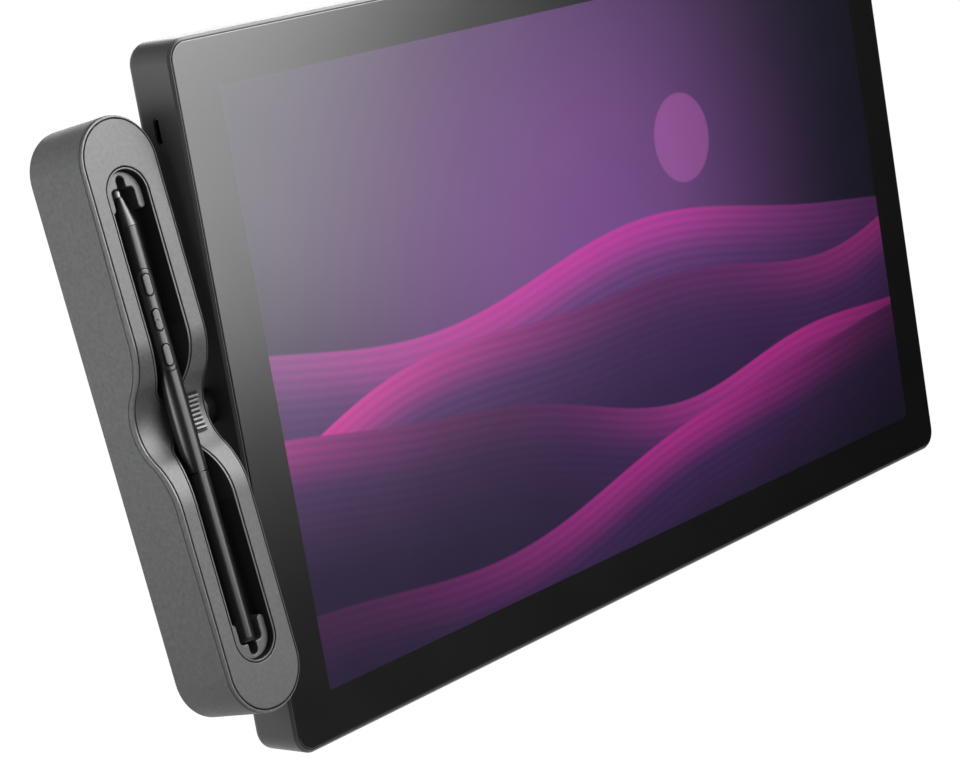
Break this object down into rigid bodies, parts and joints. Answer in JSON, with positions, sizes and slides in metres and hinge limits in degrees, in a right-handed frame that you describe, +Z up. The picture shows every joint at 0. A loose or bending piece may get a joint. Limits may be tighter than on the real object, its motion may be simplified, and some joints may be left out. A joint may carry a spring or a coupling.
{
  "type": "pen display with pen tray",
  "caption": "Flat pen display with a lit screen behind etched glass, rear keys and wall-mount holes, and a tilting side tray that holds a slim pen with buttons.",
  "frame": {"origin": "middle of the four wall-mount holes, on the flat rear face of the display", "axes": "+X to the right of the picture seen from the front, +Y out of the rear face, +Z up the screen; the display stands upright and its glass faces -Y"},
  "size_m": [0.46, 0.0565, 0.2528],
  "materials": {
    "housing": "dark grey satin anodised",
    "glass": "etched, black printed border",
    "tape": "black foam tape",
    "panel": "lit picture",
    "backlight": "white sheets",
    "board": "green solder mask",
    "chassis": "plain rolled",
    "steel": "plain",
    "black_steel": "black oxide",
    "heat_sink": "plain extruded",
    "flex": "amber film",
    "fan": "moulded black",
    "key": "fine grain, dark grey",
    "rubber": "matte black",
    "brass": "knurled insert",
    "washer": "black fibre",
    "nylon": "natural",
    "tray": "fine grain, charcoal",
    "lid": "fine grain, charcoal",
    "liner": "black",
    "cradle": "soft dark grey",
    "slider": "fine grain, ribbed",
    "pen": "smooth satin",
    "pen_trim": "black",
    "pen_button": "satin",
    "nib": "hard felt grey",
    "coil": "copper winding"
  },
  "bodies": {
    "display": {"rear_housing": "housing", "front_glass": "glass", "glass_tape": "tape", "lcd_panel": "panel", "backlight": "backlight", "sensor_sheet": "board", "chassis_plate": "chassis", "housing_screws": "black_steel", "vesa_plate": "steel", "main_board": "board", "heat_sink": "heat_sink", "panel_flex": "flex", "fan_housing": "fan", "port_boards": "board", "usb_port_left": "steel", "usb_port_right": "steel", "left_insert": "brass", "right_insert": "brass", "power_switch": "fan", "key_boards": "board", "rear_feet": "rubber", "pivot_stud": "black_steel", "friction_washer": "washer", "spindle_clip": "steel"},
    "fan": {"fan_wheel": "fan"},
    "power_button": {"power_button": "key"},
    "key_left_1": {"key_left_1": "key"},
    "key_left_2": {"key_left_2": "key"},
    "key_left_3": {"key_left_3": "key"},
    "key_left_4": {"key_left_4": "key"},
    "key_right_1": {"key_right_1": "key"},
    "key_right_2": {"key_right_2": "key"},
    "key_right_3": {"key_right_3": "key"},
    "key_right_4": {"key_right_4": "key"},
    "tray": {"tray_base": "tray", "pivot_bushing": "nylon", "nib_rack": "rubber", "spare_nibs": "nib"},
    "lid": {"tray_lid": "lid", "trough_liner": "liner", "upper_cradle": "cradle", "lower_cradle": "cradle"},
    "slider": {"release_slider": "slider"},
    "pen": {"pen_front_barrel": "pen", "pen_rear_barrel": "pen", "pen_cone": "pen", "pen_end_cap": "pen_trim", "pen_button_plate": "pen_trim", "pen_board": "board", "pen_coil": "coil", "pen_sensor": "steel"},
    "nib": {"pen_nib": "nib"},
    "pen_button_front": {"pen_button_front": "pen_button"},
    "pen_button_middle": {"pen_button_middle": "pen_button"},
    "pen_button_rear": {"pen_button_rear": "pen_button"}
  },
  "joints": [
    {"name": "fan_spin", "type": "hinge", "parent": "display", "child": "fan", "pos_m": [0, -0.006, 0.0775], "axis": [0, 1, 0], "continuous": true},
    {"name": "power_press", "type": "slide", "parent": "display", "child": "power_button", "axis": [0, 0, -1], "range_m": [0, 0.0006], "stiffness_N_per_m": 2500},
    {"name": "key_left_1_press", "type": "slide", "parent": "display", "child": "key_left_1", "axis": [0, -1, 0], "range_m": [0, 0.0008], "stiffness_N_per_m": 1500},
    {"name": "key_left_2_press", "type": "slide", "parent": "display", "child": "key_left_2", "axis": [0, -1, 0], "range_m": [0, 0.0008], "stiffness_N_per_m": 1500},
    {"name": "key_left_3_press", "type": "slide", "parent": "display", "child": "key_left_3", "axis": [0, -1, 0], "range_m": [0, 0.0008], "stiffness_N_per_m": 1500},
    {"name": "key_left_4_press", "type": "slide", "parent": "display", "child": "key_left_4", "axis": [0, -1, 0], "range_m": [0, 0.0008], "stiffness_N_per_m": 1500},
    {"name": "key_right_1_press", "type": "slide", "parent": "display", "child": "key_right_1", "axis": [0, -1, 0], "range_m": [0, 0.0008], "stiffness_N_per_m": 1500},
    {"name": "key_right_2_press", "type": "slide", "parent": "display", "child": "key_right_2", "axis": [0, -1, 0], "range_m": [0, 0.0008], "stiffness_N_per_m": 1500},
    {"name": "key_right_3_press", "type": "slide", "parent": "display", "child": "key_right_3", "axis": [0, -1, 0], "range_m": [0, 0.0008], "stiffness_N_per_m": 1500},
    {"name": "key_right_4_press", "type": "slide", "parent": "display", "child": "key_right_4", "axis": [0, -1, 0], "range_m": [0, 0.0008], "stiffness_N_per_m": 1500},
    {"name": "tray_tilt", "type": "hinge", "parent": "display", "child": "tray", "pos_m": [-0.2327, -0.0075, 0.0008], "axis": [1, 0, 0], "range_deg": [-22.2, 37.8]},
    {"name": "lid_lift", "type": "slide", "parent": "tray", "child": "lid", "axis": [0, -0.9907, 0.1357], "range_m": [0, 0.05]},
    {"name": "slider_shift", "type": "hinge", "parent": "lid", "child": "slider", "pos_m": [-0.2197, -0.03202, 0.00416], "axis": [1, 0, 0], "range_deg": [-3.82, 3.82], "stiffness_Nm_per_rad": 0.3},
    {"name": "pen_lift", "type": "slide", "parent": "lid", "child": "pen", "axis": [0, -0.9907, 0.1357], "range_m": [0, 0.06]},
    {"name": "nib_press", "type": "slide", "parent": "pen", "child": "nib", "axis": [0, -0.1357, -0.9907], "range_m": [0, 0.0004], "stiffness_N_per_m": 2000},
    {"name": "pen_button_front_press", "type": "slide", "parent": "pen", "child": "pen_button_front", "axis": [0.4695, 0.8748, -0.1198], "range_m": [0, 0.0003], "stiffness_N_per_m": 3000},
    {"name": "pen_button_middle_press", "type": "slide", "parent": "pen", "child": "pen_button_middle", "axis": [0.4695, 0.8748, -0.1198], "range_m": [0, 0.0003], "stiffness_N_per_m": 3000},
    {"name": "pen_button_rear_press", "type": "slide", "parent": "pen", "child": "pen_button_rear", "axis": [0.4695, 0.8748, -0.1198], "range_m": [0, 0.0003], "stiffness_N_per_m": 3000}
  ]
}
